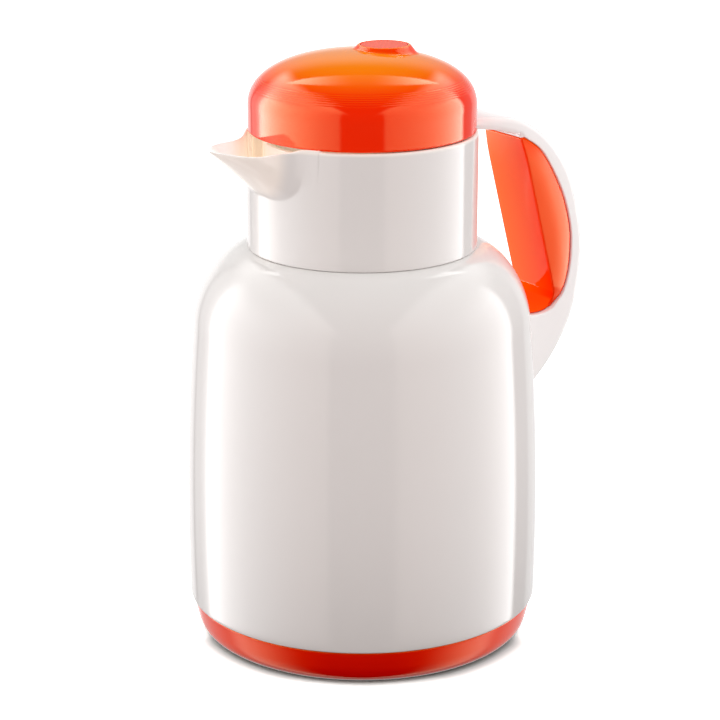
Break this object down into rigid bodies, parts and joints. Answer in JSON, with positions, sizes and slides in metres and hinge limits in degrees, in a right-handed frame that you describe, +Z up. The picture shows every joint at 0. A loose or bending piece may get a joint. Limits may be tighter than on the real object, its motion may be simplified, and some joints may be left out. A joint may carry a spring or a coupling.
{
  "type": "insulated serving jug",
  "caption": "Insulated serving jug: barrel case on a screw base, glass vacuum liner, pouring lip, D-shaped side handle and a domed screw stopper with a round inlay.",
  "frame": {"origin": "on the jug's centre line at the level of the table it stands on", "axes": "+Z up along the centre line, +X towards the handle, -X towards the pouring lip, +Y to the jug's left seen from the lip side"},
  "size_m": [0.1815, 0.1504, 0.2532],
  "materials": {
    "white_plastic": "glossy moulded polypropylene, warm white",
    "orange_plastic": "glossy moulded plastic, vivid orange",
    "coral_inlay": "satin coral-red inlay",
    "natural_plastic": "satin natural white plastic",
    "grey_rubber": "matt grey rubber",
    "silicone": "translucent silicone",
    "foam": "white expanded foam",
    "silvered_glass": "silvered borosilicate glass",
    "ceramic_pad": "dull pressed pad",
    "steel": "zinc-plated steel"
  },
  "bodies": {
    "jug": {"body_shell": "white_plastic", "neck_collar": "white_plastic", "collar_lock_ring": "natural_plastic", "neck_gasket": "silicone", "liner_outer_flask": "silvered_glass", "liner_inner_flask": "silvered_glass", "liner_spacer_1": "ceramic_pad", "liner_spacer_2": "ceramic_pad", "liner_spacer_3": "ceramic_pad", "liner_cushion": "grey_rubber", "base_cup": "orange_plastic", "base_seal_ring": "grey_rubber", "handle_shell": "white_plastic", "handle_grip_insert": "orange_plastic", "handle_screw_1": "steel", "handle_screw_2": "steel"},
    "lid_lift": {"stopper_seal": "silicone"},
    "lid": {"lid_dome": "orange_plastic", "lid_disc": "coral_inlay", "stopper_body": "natural_plastic", "stopper_insulation": "foam", "stopper_cap": "natural_plastic"}
  },
  "joints": [
    {"name": "lid_rise", "type": "slide", "parent": "jug", "child": "lid_lift", "axis": [0, 0, 1], "range_m": [0, 0.063]},
    {"name": "lid_turn", "type": "hinge", "parent": "lid_lift", "child": "lid", "pos_m": [0, 0, 0.2196], "axis": [0, 0, 1], "range_deg": [0, 1080.5]}
  ],
  "couplings": [
    {"joint": "lid_turn", "follows": "lid_rise", "rad_per_m": 299.2}
  ]
}
